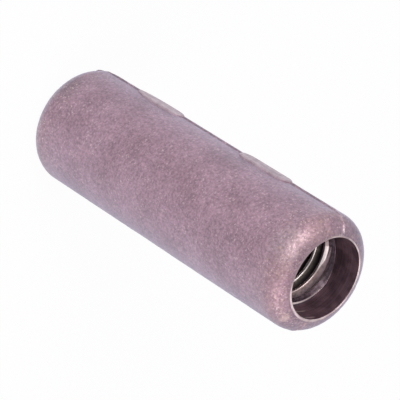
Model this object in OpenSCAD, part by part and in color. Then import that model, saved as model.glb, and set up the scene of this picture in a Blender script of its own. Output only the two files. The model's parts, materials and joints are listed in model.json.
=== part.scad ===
// Ground rod coupling: a sand-cast bronze sleeve, tapped right through, that joins two threaded
// earth rods end to end. It stands on its lower rim, with the bore along +Z, the mould's parting
// plane on XZ and the gate stubs on the -X side. The bore's wall stands at the thread's minor diameter.

/* [Sleeve] */
// Diameter of the plain barrel
barrel_d = 23.4; // [21.6:0.2:25]
// Length of the sleeve from rim to rim
body_l = 72.5; // [60:0.5:110]
// Length of the rounded nose at each end
nose_l = 3.8; // [3.3:0.1:8]
// Width of the flat rim round each mouth
rim_land = 0.25; // [0.15:0.05:0.8]

/* [Bore] */
// Minor diameter of the rod thread
thread_minor_d = 13.6; // [12.6:0.1:14.6]
// Diameter of the plain recess that shields each end of the thread
recess_d = 16.2; // [15.6:0.1:17]
// Depth of the plain recess below each rim
recess_depth = 5.4; // [2:0.2:14]
// Slope of the cone between recess and thread, measured from the bore's axis
lead_angle = 30; // [20:1:60]
// Width of the broken edge at each mouth
lip_break = 0.15; // [0.1:0.05:0.4]

/* [Casting] */
// Width of the flash ridge that follows the parting plane
flash_w = 0.7; // [0.4:0.1:1.6]
// Height of the flash ridge above the cast skin
flash_h = 0.2; // [0.1:0.05:0.5]
// Length of each ground-off gate stub along the sleeve
gate_l = 13; // [8:0.5:16]
// Width of each gate stub across the parting plane
gate_w = 4.2; // [2:0.2:6]
// Height of each gate stub's ground face above the barrel
gate_h = 0.35; // [0.2:0.05:1]
// Distance from the lower rim to the middle of the lower gate stub
lower_gate_inset = 19.4; // [12:0.2:26]
// Distance from the upper rim to the middle of the upper gate stub
upper_gate_inset = 23; // [12:0.2:26]

/* [Hidden] */
$fn = 96;
cast_bronze = [0.62, 0.52, 0.56];

barrel_r = barrel_d / 2;
recess_r = recess_d / 2;
thread_minor_r = thread_minor_d / 2;

// The nose is an arc that leaves the barrel at a tangent and meets the flat rim's outer edge
lip_r = recess_r + lip_break;
rim_r = lip_r + rim_land;
nose_drop = barrel_r - rim_r;
nose_r = (nose_l * nose_l + nose_drop * nose_drop) / (2 * nose_drop);
nose_centre_r = barrel_r - nose_r;

// The lead-in cone runs from the recess down to the thread
lead_l = (recess_r - thread_minor_r) / tan(lead_angle);
thread_z0 = recess_depth + lead_l;
thread_z1 = body_l - thread_z0;

// Flash and gate stubs are rooted this far into the wall
casting_root = 1;
// A cut runs this far past the face it opens
cut_past = 1;

// A gate stub's outline is the lens between two equal arcs
gate_arc_r = (gate_l * gate_l + gate_w * gate_w) / (4 * gate_w);
gate_arc_offset = gate_arc_r - gate_w / 2;

// Half section of the solid blank, with its skin moved outwards by grow
module blank_section(grow = 0) {
    intersection() {
        square([barrel_r + grow, body_l]);
        union() {
            square([rim_r, body_l]);
            translate([0, nose_l])
                square([barrel_r + grow, body_l - 2 * nose_l]);
            for (nose_z = [nose_l, body_l - nose_l])
                translate([nose_centre_r, nose_z])
                    circle(r = nose_r + grow);
        }
    }
}

// Half section of the stepped bore: broken lip, recess, lead-in and thread, alike at both ends
module bore_section() {
    polygon([
        [0, -cut_past],
        [lip_r + cut_past, -cut_past],
        [recess_r, lip_break],
        [recess_r, recess_depth],
        [thread_minor_r, thread_z0],
        [thread_minor_r, thread_z1],
        [recess_r, body_l - recess_depth],
        [recess_r, body_l - lip_break],
        [lip_r + cut_past, body_l + cut_past],
        [0, body_l + cut_past]
    ]);
}

// Thin ridge on both sides of the sleeve, where the two halves of the mould met
module parting_flash() {
    intersection() {
        rotate_extrude() blank_section(flash_h);
        translate([-barrel_r - flash_h - cut_past, -flash_w / 2, 0])
            cube([2 * (barrel_r + flash_h + cut_past), flash_w, body_l]);
    }
}

// Stub of one gate, ground flat just above the barrel
module gate_stub(middle_z) {
    translate([-barrel_r - gate_h, 0, middle_z])
        rotate([0, 90, 0])
            linear_extrude(height = gate_h + casting_root)
                intersection_for (side = [-1, 1])
                    translate([0, side * gate_arc_offset])
                        circle(r = gate_arc_r);
}

module coupling_sleeve() {
    color(cast_bronze)
        difference() {
            union() {
                rotate_extrude() blank_section();
                parting_flash();
                gate_stub(lower_gate_inset);
                gate_stub(body_l - upper_gate_inset);
            }
            rotate_extrude() bore_section();
        }
}

coupling_sleeve();
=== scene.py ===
import json
import math
import bpy
from mathutils import Matrix, Vector


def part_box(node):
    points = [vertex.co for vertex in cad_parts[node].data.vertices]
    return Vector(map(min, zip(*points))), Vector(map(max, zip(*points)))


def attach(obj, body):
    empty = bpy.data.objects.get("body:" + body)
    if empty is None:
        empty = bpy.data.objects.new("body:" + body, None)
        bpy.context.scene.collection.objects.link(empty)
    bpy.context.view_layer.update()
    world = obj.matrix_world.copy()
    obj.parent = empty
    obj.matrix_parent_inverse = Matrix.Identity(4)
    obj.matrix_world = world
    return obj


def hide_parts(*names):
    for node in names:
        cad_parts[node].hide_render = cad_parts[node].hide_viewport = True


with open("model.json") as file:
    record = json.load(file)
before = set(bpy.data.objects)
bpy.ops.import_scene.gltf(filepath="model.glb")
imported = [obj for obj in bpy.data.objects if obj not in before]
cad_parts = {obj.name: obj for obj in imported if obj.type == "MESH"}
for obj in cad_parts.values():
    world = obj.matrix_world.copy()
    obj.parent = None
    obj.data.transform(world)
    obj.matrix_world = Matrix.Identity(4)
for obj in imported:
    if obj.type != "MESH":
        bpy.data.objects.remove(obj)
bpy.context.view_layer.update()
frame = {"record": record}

# Cast blank: the sleeve as it leaves the sand, a cored bronze tube with rounded noses and flat rims.
# Two halves of a mould met on the XZ plane, so a thin, uneven fin of flash runs along both sides.
# The skin is dull brown-mauve oxide with a sandy grain, painted glints and a rusty stain at the mouths.
MM = 0.001
low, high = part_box("coupling_sleeve")
mounts = {mount["name"]: mount for mount in frame["record"]["mounts"]}
sleeve_l = high.z - low.z
barrel_r = high.y
recess_r = mounts["upper_recess"]["dims"]["r_mm"] * MM
lip_break = 0.15 * MM
rim_land = 0.25 * MM
nose_l = 3.95 * MM
nose_steps = 14
core_r = 6.0 * MM
barrel_bays = 3
bay_cuts = 72
lathe_steps = 240
touch = 0.002 * MM
flash_h = {
    "gate side": 0.32 * MM,
    "other side": 0.19 * MM,
    "upper nose": 0.14 * MM,
    "worn nose": 0.06 * MM,
    "lower lump": 1.25 * MM,
}
tallest_flash = max(flash_h.values())
lump_l = 2.5 * MM
flash_taper = 10
oxide_dark = (0.345, 0.206, 0.246, 1)
oxide_pale = (0.41, 0.254, 0.305, 1)
rust_tone = (0.39, 0.245, 0.235, 1)
# Pale pink of the painted glints on the sand grain.
glint_tone = (0.76, 0.57, 0.57, 1)
rust_speck_tone = (0.6, 0.4, 0.31, 1)
# Tone of the painted shade along the fin of flash.
seam_shade_tone = (0.2, 0.15, 0.165, 1)
worn_seam_tone = (0.68, 0.54, 0.53, 1)
sheen_tint = (0.78, 0.82, 1.0, 1)
skin_spots = {
    # Painted shade: a darker patch on the -X, -Y side of the lower nose.
    "painted shade on lower nose": (Vector((-7.3 * MM, -8.9 * MM, 3.2 * MM)), 4.6 * MM, (0.215, 0.15, 0.165, 1)),
    # Painted highlight: a paler patch that broadens the highlight on the upper nose.
    "painted highlight on upper nose": (Vector((-4.7 * MM, -10.2 * MM, sleeve_l - 2.3 * MM)), 5.0 * MM, (0.43, 0.315, 0.335, 1)),
    "seam's end": (Vector((-8.6 * MM, 0.3 * MM, sleeve_l + 0.6 * MM)), 1.6 * MM, (0.7, 0.56, 0.55, 1)),
    "rubbed nose": (Vector((8.6 * MM, -5.3 * MM, sleeve_l - 0.6 * MM)), 2.0 * MM, (0.64, 0.45, 0.39, 1)),
}


def select_vertices(piece, wanted):
    """In edit mode, only the vertices that pass the test are selected."""
    bpy.ops.object.mode_set(mode="EDIT")
    bpy.ops.mesh.select_mode(type="VERT")
    bpy.ops.mesh.select_all(action="DESELECT")
    bpy.ops.object.mode_set(mode="OBJECT")
    for vertex in piece.data.vertices:
        vertex.select = wanted(vertex)
    bpy.ops.object.mode_set(mode="EDIT")


def draw_line(name, points, closed=False):
    """A line of edges, drawn by extruding one vertex from point to point."""
    bpy.ops.object.select_all(action="DESELECT")
    bpy.ops.mesh.primitive_plane_add(size=MM)
    line = bpy.context.object
    line.name = name
    bpy.ops.object.mode_set(mode="EDIT")
    bpy.ops.mesh.merge(type="CENTER")
    bpy.ops.transform.translate(value=points[0])
    for start, end in zip(points, points[1:]):
        bpy.ops.mesh.extrude_region_move(TRANSFORM_OT_translate={"value": Vector(end) - Vector(start)})
    if closed:
        ends = (Vector(points[0]), Vector(points[-1]))
        select_vertices(line, lambda v: min((v.co - end).length for end in ends) < touch)
        bpy.ops.mesh.edge_face_add()
    bpy.ops.object.mode_set(mode="OBJECT")
    return line


def close_seams():
    """Doubled vertices are merged and every face of the piece in hand points outwards."""
    bpy.ops.object.mode_set(mode="EDIT")
    bpy.ops.mesh.select_all(action="SELECT")
    bpy.ops.mesh.remove_doubles(threshold=touch / 2)
    bpy.ops.mesh.normals_make_consistent(inside=False)
    bpy.ops.object.mode_set(mode="OBJECT")


def turn_on_lathe():
    """The profile in hand is spun once round Z."""
    bpy.ops.object.mode_set(mode="EDIT")
    bpy.ops.mesh.select_all(action="SELECT")
    bpy.ops.mesh.spin(steps=lathe_steps, angle=2 * math.pi, center=(0, 0, 0), axis=(0, 0, 1))
    close_seams()


def push_relief(piece, name, group, size, depth, rest_level):
    """Relief of soft lumps on one vertex group, from a cloud pattern of the given size."""
    pattern = bpy.data.textures.new(name, type="CLOUDS")
    pattern.noise_scale = size
    pattern.noise_depth = 2
    relief = piece.modifiers.new(name, "DISPLACE")
    relief.texture = pattern
    relief.texture_coords = "LOCAL"
    relief.vertex_group = group
    relief.strength = depth
    relief.mid_level = rest_level
    bpy.context.view_layer.objects.active = piece
    bpy.ops.object.modifier_apply(modifier=name)


def start_finish(name):
    """A new material, with its shader and the Object coordinates that its patterns read."""
    finish = bpy.data.materials.new(name)
    finish.use_nodes = True
    shader = finish.node_tree.nodes["Principled BSDF"]
    where = finish.node_tree.nodes.new("ShaderNodeTexCoord").outputs["Object"]
    return finish, shader, where


def wire(finish, kind, inputs, **settings):
    """One node: its settings, then its inputs, each linked from a socket or set to a value."""
    node = finish.node_tree.nodes.new("ShaderNode" + kind)
    for name, value in settings.items():
        setattr(node, name, value)
    for name, value in inputs.items():
        if isinstance(value, bpy.types.NodeSocket):
            finish.node_tree.links.new(value, node.inputs[name])
        else:
            node.inputs[name].default_value = value
    return node


def noise(finish, where, size, detail=3.0, roughness=0.55):
    """Cloudy noise whose patches are about the given size across."""
    inputs = {"Vector": where, "Scale": 1 / size, "Detail": detail, "Roughness": roughness}
    return wire(finish, "TexNoise", inputs).outputs["Fac"]


def spread(finish, value, low_in, high_in, low_out=0.0, high_out=1.0):
    """The value taken from one range to another, smoothly and no further than its ends."""
    inputs = {
        "Value": value,
        "From Min": low_in,
        "From Max": high_in,
        "To Min": low_out,
        "To Max": high_out,
    }
    return wire(finish, "MapRange", inputs, interpolation_type="SMOOTHSTEP").outputs["Result"]


def reckon(finish, operation, *values):
    """One step of arithmetic."""
    return wire(finish, "Math", dict(enumerate(values)), operation=operation).outputs["Value"]


def together(finish, first, *others):
    """Shares multiplied together, so that only what they all let through is left."""
    share = first
    for other in others:
        share = reckon(finish, "MULTIPLY", share, other)
    return share


def blend(finish, share, first, second):
    """Two colours blended by the given share of the second."""
    return wire(finish, "Mix", {0: share, 6: first, 7: second}, data_type="RGBA").outputs[2]


def shade(finish, colour, tone):
    """The colour made lighter or darker."""
    return wire(finish, "VectorMath", {0: colour, "Scale": tone}, operation="SCALE").outputs["Vector"]


def places(finish, where):
    """X, Y and Z, and the depth from the nearer end."""
    axes = wire(finish, "SeparateXYZ", {0: where}).outputs
    depth = reckon(finish, "MINIMUM", axes["Z"], reckon(finish, "SUBTRACT", sleeve_l, axes["Z"]))
    return axes["X"], axes["Y"], axes["Z"], depth


def set_finish(finish, shader, colour, roughness, height, relief):
    """Colour, roughness and fine bump are linked to the shader."""
    finish.node_tree.links.new(colour, shader.inputs["Base Color"])
    finish.node_tree.links.new(roughness, shader.inputs["Roughness"])
    bump = wire(finish, "Bump", {"Height": height, "Distance": relief, "Strength": 1.0})
    finish.node_tree.links.new(bump.outputs["Normal"], shader.inputs["Normal"])


def add_spots(finish, where, mottle, colour):
    """Spots with ragged edges: painted shade on the lower nose, a painted highlight on the upper nose, and
    rubbed spots.
    """
    ragged = spread(finish, mottle, 0.35, 0.65, 0.8 * MM, -0.6 * MM)
    for centre, reach, tone in skin_spots.values():
        inputs = {0: where, 1: centre}
        from_spot = wire(finish, "VectorMath", inputs, operation="DISTANCE").outputs["Value"]
        from_spot = reckon(finish, "ADD", from_spot, ragged)
        colour = blend(finish, spread(finish, from_spot, reach, 0.3 * reach, 0.0, 0.6), colour, tone)
    return colour


def add_glints_and_rust_specks(finish, where, depth, colour):
    """Painted glints of the sand grain in crowds, more of them by the mouths, and rusty specks there only.
    """
    glint = spread(finish, noise(finish, where, 0.36 * MM, 1.0), 0.6, 0.7, 0.0, 0.8)
    crowd = spread(finish, noise(finish, where, 4 * MM), 0.35, 0.65, 0.3, 1.0)
    near_mouth = spread(finish, depth, 14 * MM, 3 * MM, 0.7, 1.0)
    colour = blend(finish, together(finish, glint, crowd, near_mouth), colour, glint_tone)
    rust_speck = spread(finish, noise(finish, where, 0.6 * MM, 1.0), 0.6, 0.72)
    by_mouth = spread(finish, depth, 10 * MM, 2 * MM, 0.0, 0.5)
    return blend(finish, together(finish, rust_speck, by_mouth), colour, rust_speck_tone)


def mark_seam(finish, x, y, z, mottle, colour):
    """The fin of flash, with painted shade along it on the barrel, and rubbed by the upper mouth on the
    gate side.
    """
    from_top = reckon(finish, "SUBTRACT", sleeve_l, z)
    on_seam = spread(finish, reckon(finish, "ABSOLUTE", y), 0.75 * MM, 0.25 * MM)
    on_seam = together(finish, on_seam, spread(finish, mottle, 0.4, 0.58, 0.15, 1.0))
    # Painted shade along the fin, fading out towards the upper nose.
    seam_shade = together(finish, on_seam, spread(finish, from_top, 2 * MM, 6 * MM, 0.0, 0.7))
    colour = blend(finish, seam_shade, colour, seam_shade_tone)
    worn = together(
        finish,
        on_seam,
        spread(finish, from_top, 5 * MM, 2 * MM, 0.0, 0.5),
        spread(finish, x, 0, -2 * MM),
        spread(finish, mottle, 0.45, 0.56),
    )
    return blend(finish, worn, colour, worn_seam_tone)


def make_cast_skin():
    """Oxide skin of the casting."""
    finish, shader, where = start_finish("cast_bronze")
    x, y, z, depth = places(finish, where)
    cloud = noise(finish, where, 9 * MM)
    mottle = noise(finish, where, 1.5 * MM)
    grain = noise(finish, where, 0.5 * MM, 4.0, 0.6)
    colour = blend(finish, spread(finish, cloud, 0.35, 0.65), oxide_dark, oxide_pale)
    by_mouth = spread(finish, depth, 9 * MM, 1 * MM, 0.0, 0.45)
    rust = together(finish, by_mouth, spread(finish, cloud, 0.4, 0.6))
    colour = blend(finish, rust, colour, rust_tone)
    # Spots: painted shade on the lower nose, a painted highlight on the upper nose, and rubbed spots by the
    # upper mouth.
    colour = add_spots(finish, where, mottle, colour)
    colour = shade(finish, colour, spread(finish, mottle, 0.3, 0.7, 0.92, 1.08))
    colour = shade(finish, colour, spread(finish, grain, 0.25, 0.75, 0.76, 1.24))
    # Pale specks here are painted glints of the sand grain; the rusty specks are rust.
    colour = add_glints_and_rust_specks(finish, where, depth, colour)
    colour = mark_seam(finish, x, y, z, mottle, colour)
    set_finish(finish, shader, colour, spread(finish, grain, 0.3, 0.7, 0.6, 0.46), grain, 0.038 * MM)
    shader.inputs["Metallic"].default_value = 0.8
    shader.inputs["Sheen Weight"].default_value = 0.7
    shader.inputs["Sheen Roughness"].default_value = 0.5
    shader.inputs["Sheen Tint"].default_value = sheen_tint
    return finish


def flash_at(point):
    """Height of the flash: worn down over the noses, but for a lump at the gate side's lower end."""
    from_end = min(point.z, sleeve_l - point.z)
    if point.x > 0:
        return min(flash_h["worn nose" if from_end < nose_l else "other side"], from_end)
    if point.z < lump_l:
        return min(flash_h["lower lump"] * (1 - point.z / lump_l), from_end)
    tallest = flash_h["upper nose" if point.z > sleeve_l - nose_l else "gate side"]
    return min(tallest, from_end, (point.z - lump_l) / flash_taper)


rim_r = recess_r + lip_break + rim_land
nose_drop = barrel_r - rim_r
nose_r = (nose_l ** 2 + nose_drop ** 2) / (2 * nose_drop)
nose_turn = math.acos((rim_r - barrel_r + nose_r) / nose_r)
nose_arc = [
    (barrel_r - nose_r + nose_r * math.cos(turn), 0, nose_l - nose_r * math.sin(turn))
    for turn in (nose_turn * (1 - i / nose_steps) for i in range(nose_steps + 1))
]
lower_half = [(core_r, 0, 0)] + nose_arc
upper_half = [(x, y, sleeve_l - z) for x, y, z in reversed(lower_half)]
sleeve = draw_line("cast_sleeve", lower_half + upper_half, closed=True)
for cuts in (barrel_bays - 1, bay_cuts):
    select_vertices(sleeve, lambda v: v.co.x > barrel_r - touch)
    bpy.ops.mesh.subdivide(number_cuts=cuts)
turn_on_lathe()
sleeve.data.materials.append(make_cast_skin())

skin = sleeve.vertex_groups.new(name="skin")
flash = sleeve.vertex_groups.new(name="flash")
for vertex in sleeve.data.vertices:
    if math.hypot(vertex.co.x, vertex.co.y) < rim_r + touch:
        continue
    if abs(vertex.co.y) < touch:
        flash.add([vertex.index], flash_at(vertex.co) / tallest_flash, "REPLACE")
    else:
        skin.add([vertex.index], 1.0, "REPLACE")
# The skin only sinks, and the fin stands at one to three thirds of its full height.
push_relief(sleeve, "slow lumps", "skin", size=6 * MM, depth=0.08 * MM, rest_level=1.0)
push_relief(sleeve, "sand grain", "skin", size=0.7 * MM, depth=0.06 * MM, rest_level=1.0)
push_relief(sleeve, "flash fin", "flash", size=1.6 * MM, depth=tallest_flash * 2 / 3, rest_level=-0.5)

# Gate stubs: where the metal ran in, on the -X side of the parting plane. The gates are broken off
# and ground down by hand to long round-ended flats that stand just proud, in paler bare metal.
gate_h = 0.3 * MM
gate_root = 0.8 * MM
gate_near_w = 2.1 * MM
gate_far_w = 1.6 * MM
gate_edge = 0.2 * MM
gate_steps = 10
gates = (
    {"low": 12.9 * MM, "high": 26.0 * MM, "low_end": 8.0 * MM, "high_end": 3.5 * MM},
    {"low": 43.0 * MM, "high": 56.4 * MM, "low_end": 2.5 * MM, "high_end": 2.0 * MM},
)
gate_dark = (0.44, 0.33, 0.365, 1)
gate_pale = (0.57, 0.45, 0.48, 1)
scratch_stretch = (1, 0.15, 1)


def apply_boolean(piece, tool, operation):
    """The tool is added to, cut from or met with the piece, then thrown away."""
    joint = piece.modifiers.new("boolean", "BOOLEAN")
    joint.operation = operation
    joint.solver = "EXACT"
    joint.material_mode = "TRANSFER"
    joint.object = tool
    bpy.context.view_layer.objects.active = piece
    bpy.ops.object.modifier_apply(modifier="boolean")
    bpy.data.objects.remove(tool)


def make_ground_gate():
    """Bare ground metal, dulled, with fine scratches across the stub."""
    finish, shader, where = start_finish("ground_gate")
    across = wire(finish, "Mapping", {"Vector": where, "Scale": scratch_stretch}).outputs["Vector"]
    scratch = noise(finish, across, 0.25 * MM, 2.0)
    cloud = noise(finish, where, 2 * MM)
    colour = blend(finish, spread(finish, cloud, 0.35, 0.65), gate_dark, gate_pale)
    colour = shade(finish, colour, spread(finish, scratch, 0.3, 0.7, 0.88, 1.1))
    set_finish(finish, shader, colour, spread(finish, scratch, 0.3, 0.7, 0.5, 0.38), scratch, 0.02 * MM)
    shader.inputs["Metallic"].default_value = 0.85
    return finish


def gate_side(width, low, high, low_end, high_end):
    """One side of a stub's outline, from its lower tip to its upper one, with quarter-ellipse ends."""
    root_x = gate_root - barrel_r
    turns = [math.pi / 2 * i / gate_steps for i in range(gate_steps + 1)]
    lower = [(root_x, width * math.sin(turn), low + low_end * (1 - math.cos(turn))) for turn in turns]
    upper = [(root_x, width * math.cos(turn), high - high_end * (1 - math.sin(turn))) for turn in turns]
    return lower + upper


def add_gate_stub(gate):
    """A stub drawn round, filled, drawn out past the barrel and just broken along its ground edge."""
    near_side = gate_side(-gate_near_w, **gate)
    far_side = gate_side(gate_far_w, **gate)
    stub = draw_line("gate_stub", near_side + far_side[-2:0:-1], closed=True)
    bpy.ops.object.mode_set(mode="EDIT")
    bpy.ops.mesh.select_all(action="SELECT")
    bpy.ops.mesh.edge_face_add()
    bpy.ops.mesh.extrude_region_move(TRANSFORM_OT_translate={"value": (-gate_root - gate_h, 0, 0)})
    bpy.ops.mesh.bevel(offset=gate_edge, segments=1)
    close_seams()
    return stub


ground_gate = make_ground_gate()
for gate in gates:
    stub = add_gate_stub(gate)
    stub.data.materials.append(ground_gate)
    apply_boolean(sleeve, stub, "UNION")

# Bore: drilled through and tapped for the rods, right-handed, eleven threads to the inch.
# Painted shade darkens the roots, less on the first turn, and the crests are rubbed bright and brassy with
# a painted highlight.
thread_minor_r = mounts["rod_thread"]["dims"]["r_mm"] * MM
thread_pitch = 25.4 / 11 * MM
thread_root_r = 7.9 * MM
crest_flat = 0.44 * MM
crest_round = 0.3 * MM
round_steps = 4
thread_steps = 64
flank_angle = math.radians(30)
crest_depth = 8.25 * MM
crest_bearing = 74.5
tool_past = 2 * MM
spare_turns = 1
# Flank and root tones, deep and on the first turn: the roots' darkness is painted shade, lighter by the
# mouth.
flank_tones = ((0.26, 0.22, 0.18, 1), (0.45, 0.31, 0.29, 1))
root_shade_tones = ((0.05, 0.036, 0.038, 1), (0.26, 0.195, 0.21, 1))
# Crest tones: rubbed bright with a painted highlight, and the same dimmed by painted shade.
crest_wear_and_highlight = (1.0, 0.9, 0.85, 1)
crest_painted_shade = (0.66, 0.53, 0.5, 1)


def from_axis(finish, where):
    """Distance from the bore's axis."""
    flat = wire(finish, "VectorMath", {0: where, 1: (1, 1, 0)}, operation="MULTIPLY").outputs["Vector"]
    return wire(finish, "VectorMath", {0: flat}, operation="LENGTH").outputs["Value"]


def make_cut_thread():
    """Tapped metal with painted shade in the roots, less on the first turn; crests rubbed bright with a
    painted highlight, dulled by painted shade on the first turn's +X side.
    """
    finish, shader, where = start_finish("cut_thread")
    x, _, _, depth = places(finish, where)
    radius = from_axis(finish, where)
    cloud = noise(finish, where, 0.8 * MM)
    first_turn = spread(finish, depth, 8.6 * MM, 7.6 * MM)
    # Lighter on the first turn, as painted light from the mouth.
    flank_tone = blend(finish, first_turn, *flank_tones)
    root_tone = blend(finish, first_turn, *root_shade_tones)
    # Painted shade from the flank down into the root.
    colour = blend(finish, spread(finish, radius, thread_minor_r, thread_root_r), flank_tone, root_tone)
    colour = shade(finish, colour, spread(finish, cloud, 0.35, 0.65, 0.72, 1.25))
    # On the first turn towards -X the bright crest band is wider: wear and painted highlight.
    wider_wear_and_highlight = together(finish, first_turn, spread(finish, x, 2 * MM, -3 * MM, 0.0, 0.35 * MM))
    crest_band_r = reckon(finish, "SUBTRACT", radius, wider_wear_and_highlight)
    crest = spread(finish, crest_band_r, thread_minor_r + 0.22 * MM, thread_minor_r + 0.15 * MM)
    # Painted shade dulls the first turn's crests on the +X side.
    crest_shade = together(finish, spread(finish, depth, 9.4 * MM, 8.9 * MM), spread(finish, x, -2 * MM, 2 * MM))
    colour = blend(finish, crest, colour, blend(finish, crest_shade, crest_wear_and_highlight, crest_painted_shade))
    set_finish(finish, shader, colour, spread(finish, crest, 0, 1, 0.55, 0.4), cloud, 0.02 * MM)
    finish.node_tree.links.new(spread(finish, crest, 0, 1, 0.6, 0.95), shader.inputs["Metallic"])
    return finish


flank_l = (thread_root_r - thread_minor_r) * math.tan(flank_angle)
crest_half = crest_flat / 2
round_tangent = crest_round * math.tan((math.pi / 2 - flank_angle) / 2)
half_ridge = [(thread_root_r, thread_pitch / 2), (thread_root_r, crest_half + flank_l)]
for i in range(round_steps, -1, -1):
    turn = (math.pi / 2 - flank_angle) * i / round_steps
    half_ridge.append((
        thread_minor_r + crest_round * (1 - math.cos(turn)),
        crest_half - round_tangent + crest_round * math.sin(turn),
    ))
ridge = [(r, -z) for r, z in half_ridge] + list(reversed(half_ridge))
crest_z = sleeve_l - crest_depth - thread_pitch * crest_bearing / 360
turns_below = math.ceil((crest_z + tool_past) / thread_pitch) + spare_turns
turns = math.ceil((sleeve_l + 2 * tool_past) / thread_pitch) + 3 * spare_turns
tap = draw_line("tap", [(r, 0, z + crest_z - turns_below * thread_pitch) for r, z in ridge])
helix = tap.modifiers.new("helix", "SCREW")
helix.axis = "Z"
helix.angle = 2 * math.pi
helix.screw_offset = thread_pitch
helix.iterations = turns
helix.steps = thread_steps
helix.render_steps = thread_steps
helix.use_merge_vertices = True
helix.merge_threshold = touch / 2
bpy.ops.object.modifier_apply(modifier="helix")
close_seams()
for end_z, outwards in ((-tool_past, -1), (sleeve_l + tool_past, 1)):
    bpy.ops.object.mode_set(mode="EDIT")
    bpy.ops.mesh.select_all(action="SELECT")
    bpy.ops.mesh.bisect(
        plane_co=(0, 0, end_z),
        plane_no=(0, 0, outwards),
        use_fill=True,
        clear_outer=True,
    )
    bpy.ops.object.mode_set(mode="OBJECT")
close_seams()
tap.data.materials.append(make_cut_thread())
apply_boolean(sleeve, tap, "DIFFERENCE")

# Mouths: turned into each end after tapping, a little off the casting's centre. A plain recess has a
# sloped floor. A lead-in cone, further off, leaves a ledge of it on one side and on the other cuts
# into the first crest. The turned metal has gone dark, and painted shade darkens most of the cone and
# the +X side of the recess. The lip is rubbed bright, the crest's facet is rubbed bright with a painted
# highlight, and the ledge's edge and two tool scores carry painted highlights.
recess_depth = 5.69 * MM
cutter_core = thread_minor_r - 0.5 * MM
lead_slope = math.tan(math.radians(35))
floor_slope = math.tan(math.radians(20))
cone_r = recess_r + 0.2 * MM
recess_shift = Vector((-0.05, 0.24, 0)) * MM
cone_shift = Vector((-0.71, 0.3, 0)) * MM
score_depths = (0.95 * MM, 3.5 * MM)
ring_size = 0.35 * MM
wall_dark = (0.23, 0.145, 0.18, 1)
wall_pale = (0.33, 0.205, 0.245, 1)
cone_dark = (0.084, 0.055, 0.065, 1)
cone_pale = (0.155, 0.111, 0.13, 1)
# Tone of the rubbed facet and of the painted highlights on the ledge's edge and the tool scores.
rubbed_and_highlight_tone = (0.94, 0.81, 0.77)
lip_dull = (0.46, 0.31, 0.345, 1)
lip_bright = (0.9, 0.73, 0.71, 1)
dull_side = (-0.47, -0.88, 0)
smooth_angle = math.radians(28)


def centred(finish, where, centre):
    """The coordinates taken from another centre."""
    return wire(finish, "VectorMath", {0: where, 1: centre}, operation="SUBTRACT").outputs["Vector"]


def near(finish, value, middle, reach):
    """One where the value is at the middle, falling to nought at the given reach."""
    return spread(finish, reckon(finish, "ABSOLUTE", reckon(finish, "SUBTRACT", value, middle)), reach, 0.0)


def find_facet(finish, x, radius):
    """Where the cone cuts into the first crest, a strip that widens towards -X."""
    outer_r = reckon(finish, "SUBTRACT", radius, spread(finish, x, 1.5 * MM, -5 * MM, 0.0, 0.43 * MM))
    inner_r = reckon(finish, "SUBTRACT", radius, spread(finish, x, 1.5 * MM, -5 * MM, 0.02 * MM, 0.5 * MM))
    return together(
        finish,
        spread(finish, outer_r, thread_minor_r + 0.46 * MM, thread_minor_r + 0.38 * MM),
        spread(finish, x, 2 * MM, 0.8 * MM),
        spread(finish, inner_r, thread_minor_r - 0.03 * MM, thread_minor_r + 0.03 * MM),
    )


def find_ledge(finish, x, depth, from_wall):
    """The inner edge of the ledge on the +X side of the recess's floor."""
    off_floor = reckon(finish, "SUBTRACT", depth, reckon(finish, "MULTIPLY", from_wall, floor_slope))
    from_corner = reckon(finish, "SUBTRACT", from_wall, spread(finish, x, 2 * MM, 8 * MM, 0.0, 0.26 * MM))
    return together(
        finish,
        near(finish, off_floor, recess_depth, 0.04 * MM),
        spread(finish, x, 0, 3 * MM),
        spread(finish, from_corner, 0.0, 0.08 * MM),
        spread(finish, x, 6 * MM, 8 * MM, 0.55, 1.0),
    )


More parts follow.
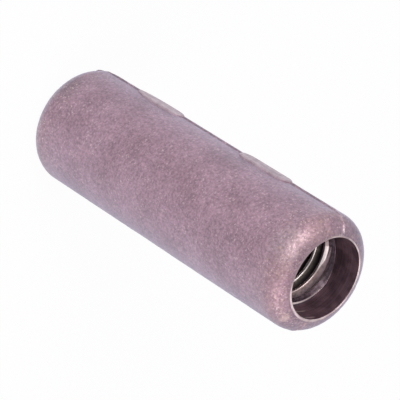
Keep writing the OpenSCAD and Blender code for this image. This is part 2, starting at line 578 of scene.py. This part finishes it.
def make_turned_recess():
    """Dark turned metal, greyer on the lead-in cone, with fine rings; painted shade on most of the cone and
    on the +X side; painted highlights on the facet, the ledge's edge and two tool scores.
    """
    finish, shader, where = start_finish("turned_recess")
    x, _, z, depth = places(finish, where)
    wall_r = from_axis(finish, centred(finish, where, recess_shift))
    from_wall = reckon(finish, "SUBTRACT", recess_r, wall_r)
    inputs = {"W": z, "Scale": 1 / ring_size, "Detail": 3.0}
    rings = wire(finish, "TexNoise", inputs, noise_dimensions="1D").outputs["Fac"]
    cloud = noise(finish, where, 1.8 * MM)
    mottle = noise(finish, where, 0.6 * MM)
    wall = blend(finish, spread(finish, cloud, 0.38, 0.62), wall_dark, wall_pale)
    cone = blend(finish, spread(finish, mottle, 0.38, 0.62), cone_dark, cone_pale)
    # Painted shade darkens the cone, except on its far +X side.
    cone = shade(finish, cone, spread(finish, x, 6 * MM, 3 * MM, 1.1, 0.6))
    colour = blend(finish, spread(finish, from_wall, 0.01 * MM, 0.06 * MM), wall, cone)
    # Painted shade: darker towards +X.
    colour = shade(finish, colour, spread(finish, x, 4 * MM, 8 * MM, 1.0, 0.88))
    colour = shade(finish, colour, spread(finish, rings, 0.3, 0.7, 0.82, 1.2))
    # Painted highlights on the ledge's edge, the rubbed facet and two tool scores.
    ledge = find_ledge(finish, x, depth, from_wall)
    wear_and_highlight = reckon(finish, "MAXIMUM", find_facet(finish, x, from_axis(finish, where)), ledge)
    for score_depth in score_depths:
        score_glint = near(finish, depth, score_depth, 0.3 * MM)
        score_glint = together(finish, score_glint, spread(finish, x, 7.6 * MM, 7.9 * MM, 0.0, 0.7))
        wear_and_highlight = reckon(finish, "MAXIMUM", wear_and_highlight, score_glint)
    # Painted shade dims this bright tone towards -X.
    shaded_highlight_tone = shade(finish, rubbed_and_highlight_tone, spread(finish, x, -5 * MM, 0, 0.7, 1.0))
    colour = blend(finish, wear_and_highlight, colour, shaded_highlight_tone)
    set_finish(finish, shader, colour, spread(finish, cloud, 0.35, 0.65, 0.36, 0.48), rings, 0.012 * MM)
    finish.node_tree.links.new(spread(finish, ledge, 0, 1, 0.85, 0.0), shader.inputs["Metallic"])
    return finish


def make_worn_lip():
    """Metal of the lip: patchily rubbed, brightest towards +X and -Y, dull beside that and on the rim."""
    finish, shader, where = start_finish("worn_lip")
    from_centre = centred(finish, where, recess_shift)
    x, y, _, _ = places(finish, from_centre)
    cloud = noise(finish, where, 1.1 * MM)
    ragged = reckon(finish, "MULTIPLY", cloud, 0.4 * MM)
    ragged = reckon(finish, "ADD", from_axis(finish, from_centre), ragged)
    patchy = spread(finish, noise(finish, where, 4 * MM), 0.42, 0.58, 0.35, 1.0)
    bright_side = spread(finish, reckon(finish, "SUBTRACT", x, y), 9.5 * MM, 11.5 * MM)
    inputs = {0: where, 1: dull_side}
    towards_dull = wire(finish, "VectorMath", inputs, operation="DOT_PRODUCT").outputs["Value"]
    rub = together(
        finish,
        spread(finish, ragged, recess_r + 0.8 * MM, recess_r + 0.5 * MM),
        reckon(finish, "MAXIMUM", patchy, bright_side),
        spread(finish, towards_dull, 5.8 * MM, 7.3 * MM, 1.0, 0.25),
    )
    colour = blend(finish, rub, lip_dull, lip_bright)
    colour = shade(finish, colour, spread(finish, bright_side, 0, 1, 0.82, 1.2))
    grain = noise(finish, where, 0.3 * MM)
    set_finish(finish, shader, colour, spread(finish, cloud, 0.35, 0.65, 0.5, 0.36), grain, 0.03 * MM)
    shader.inputs["Metallic"].default_value = 0.4
    return finish


def turn_tool(name, points, shift):
    """A tool turned from its half profile, set off centre, in the material that it leaves behind."""
    tool = draw_line(name, [(r, 0, z) for r, z in points], closed=True)
    turn_on_lathe()
    bpy.ops.transform.translate(value=shift)
    bpy.ops.object.transform_apply(location=True, rotation=True, scale=True)
    tool.data.materials.append(turned_recess)
    return tool


turned_recess = make_turned_recess()
recess_profile = [
    (cutter_core, -tool_past),
    (recess_r + lip_break + tool_past, -tool_past),
    (recess_r, lip_break),
    (recess_r, recess_depth),
    (cutter_core, recess_depth + (recess_r - cutter_core) * floor_slope),
]
cone_profile = [
    (cutter_core / 2, recess_depth - tool_past),
    (cone_r + tool_past * lead_slope, recess_depth - tool_past),
    (cutter_core / 2, recess_depth + (cone_r - cutter_core / 2) / lead_slope),
]
within_profile = [
    (cutter_core / 4, 0),
    (recess_r - touch, 0),
    (recess_r - touch, 3 * recess_depth),
    (cutter_core / 4, 3 * recess_depth),
]
for upper_mouth in (False, True):
    recess_points, cone_points, within_points = [
        [(r, sleeve_l - z if upper_mouth else z) for r, z in profile]
        for profile in (recess_profile, cone_profile, within_profile)
    ]
    apply_boolean(sleeve, turn_tool("recess_cutter", recess_points, recess_shift), "DIFFERENCE")
    cone_cutter = turn_tool("lead_in_cutter", cone_points, cone_shift)
    apply_boolean(cone_cutter, turn_tool("within_recess", within_points, recess_shift), "INTERSECT")
    apply_boolean(sleeve, cone_cutter, "DIFFERENCE")

bpy.ops.object.select_all(action="DESELECT")
sleeve.select_set(True)
bpy.context.view_layer.objects.active = sleeve
sleeve.data.materials.append(make_worn_lip())
bpy.ops.object.mode_set(mode="EDIT")
bpy.ops.mesh.select_all(action="SELECT")
bpy.ops.mesh.dissolve_degenerate(threshold=touch / 20)
bpy.ops.mesh.select_mode(type="FACE")
bpy.ops.mesh.select_all(action="DESELECT")
bpy.ops.object.mode_set(mode="OBJECT")
for face in sleeve.data.polygons:
    from_end = min(face.center.z, sleeve_l - face.center.z)
    face.select = from_end < lip_break and math.hypot(face.center.x, face.center.y) < rim_r
bpy.ops.object.mode_set(mode="EDIT")
sleeve.active_material_index = len(sleeve.data.materials) - 1
bpy.ops.object.material_slot_assign()
bpy.ops.object.mode_set(mode="OBJECT")
bpy.ops.object.shade_smooth_by_angle(angle=smooth_angle)
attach(sleeve, "root")
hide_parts("coupling_sleeve")

# Floor: a plain pale sheet under the sleeve, which takes its soft shadow. The floor and the world
# round it show white to the camera and cool white in the metal, dimmer behind and overhead.
floor_w = 4.0
floor_glow = 0.96
floor_tone = (0.93, 0.93, 0.93, 1)
room_light = 0.5
ceiling_light = 0.6
back_light = 0.65
dim_from = 60 * MM
dim_to = 200 * MM
white = (1, 1, 1, 1)
cool_white = (0.92, 0.94, 1.0, 1)


def seen_directly(finish):
    """The camera's own rays, and all those that come from the camera, off gloss or through glass."""
    path = wire(finish, "LightPath", {})
    by_camera = path.outputs["Is Camera Ray"]
    seen = by_camera
    for ray in ("Is Glossy Ray", "Is Transmission Ray"):
        seen = reckon(finish, "MAXIMUM", seen, path.outputs[ray])
    return by_camera, seen


def make_floor_paint():
    """Matt pale paint that glows white to the camera and cool white in the metal."""
    finish, shader, where = start_finish("floor_paint")
    shader.inputs["Base Color"].default_value = floor_tone
    shader.inputs["Roughness"].default_value = 0.9
    by_camera, seen = seen_directly(finish)
    behind = wire(finish, "SeparateXYZ", {0: where}).outputs["Y"]
    in_metal = shade(finish, cool_white[:3], spread(finish, behind, dim_from, dim_to, 1.0, back_light))
    glow = wire(finish, "Emission", {"Color": blend(finish, by_camera, in_metal, white)})
    share = reckon(finish, "MULTIPLY", seen, floor_glow)
    mixed = wire(finish, "MixShader", {0: share, 1: shader.outputs[0], 2: glow.outputs[0]})
    output = finish.node_tree.nodes["Material Output"]
    finish.node_tree.links.new(mixed.outputs[0], output.inputs["Surface"])
    return finish


bpy.ops.object.select_all(action="DESELECT")
bpy.ops.mesh.primitive_plane_add(size=floor_w)
floor = bpy.context.object
floor.name = "floor"
floor.data.materials.append(make_floor_paint())

studio = bpy.data.worlds.new("studio")
bpy.context.scene.world = studio
studio.use_nodes = True
sky = studio.node_tree.nodes["Background"]
by_camera, seen = seen_directly(studio)
towards = wire(studio, "SeparateXYZ", {0: wire(studio, "TexCoord", {}).outputs["Generated"]}).outputs
strength = together(
    studio,
    spread(studio, towards["Z"], 0.1, 0.9, 1.0, ceiling_light),
    spread(studio, towards["Y"], 0.3, 0.9, 1.0, back_light),
    spread(studio, seen, 0, 1, room_light, 1.0),
)
studio.node_tree.links.new(reckon(studio, "MAXIMUM", strength, by_camera), sky.inputs["Strength"])
studio.node_tree.links.new(blend(studio, by_camera, cool_white, white), sky.inputs["Color"])

# Lamps and camera: a soft key beside the camera, a broad cool fill on its other side and a weak lamp
# on the gate side. A long lens looks down into the upper mouth, rolled so that the sleeve lies aslant.
view_bearing = math.radians(254.5)
view_height = math.radians(40.454)
view_roll = math.radians(-122.5)
view_distance = 557.3 * MM
view_shift = Vector((0.911, -0.7)) * MM
view_lens = 269.26
sensor_w = 36
clip_start = 0.05
centre = Vector((0, 0, sleeve_l / 2))


def away(bearing, height):
    """The direction out from the sleeve, from a bearing round Z and a height above the floor."""
    flat = math.cos(height)
    return Vector((math.cos(bearing) * flat, math.sin(bearing) * flat, math.sin(height)))


def add_lamp(name, bearing, height, distance, size, power, colour):
    """A square soft lamp that faces the sleeve and isn't seen itself."""
    out = away(math.radians(bearing), math.radians(height))
    bpy.ops.object.light_add(type="AREA", location=centre + out * distance)
    lamp = bpy.context.object
    lamp.name = name
    lamp.rotation_euler = out.to_track_quat("Z", "Y").to_euler()
    lamp.data.size = size
    lamp.data.energy = power
    lamp.data.color = colour
    lamp.visible_camera = False


add_lamp("key", bearing=221, height=36, distance=0.9, size=0.46, power=4.0, colour=(1.0, 1.0, 1.0))
add_lamp("fill", bearing=342, height=42, distance=0.8, size=0.6, power=2.7, colour=(0.97, 0.97, 1.0))
add_lamp("gate_side", bearing=150, height=42, distance=0.8, size=0.5, power=0.5, colour=(0.9, 0.93, 1.0))

back = away(view_bearing, view_height)
right = Vector((-math.sin(view_bearing), math.cos(view_bearing), 0))
up = back.cross(right)
camera_x = right * math.cos(view_roll) - up * math.sin(view_roll)
camera_y = right * math.sin(view_roll) + up * math.cos(view_roll)
bpy.ops.object.camera_add()
camera = bpy.context.object
camera.matrix_world = Matrix((camera_x, camera_y, back)).transposed().to_4x4()
camera.location = centre + back * view_distance + camera_x * view_shift.x + camera_y * view_shift.y
camera.data.lens = view_lens
camera.data.sensor_width = sensor_w
camera.data.clip_start = clip_start
bpy.context.scene.camera = camera
bpy.context.scene.view_settings.view_transform = "Standard"
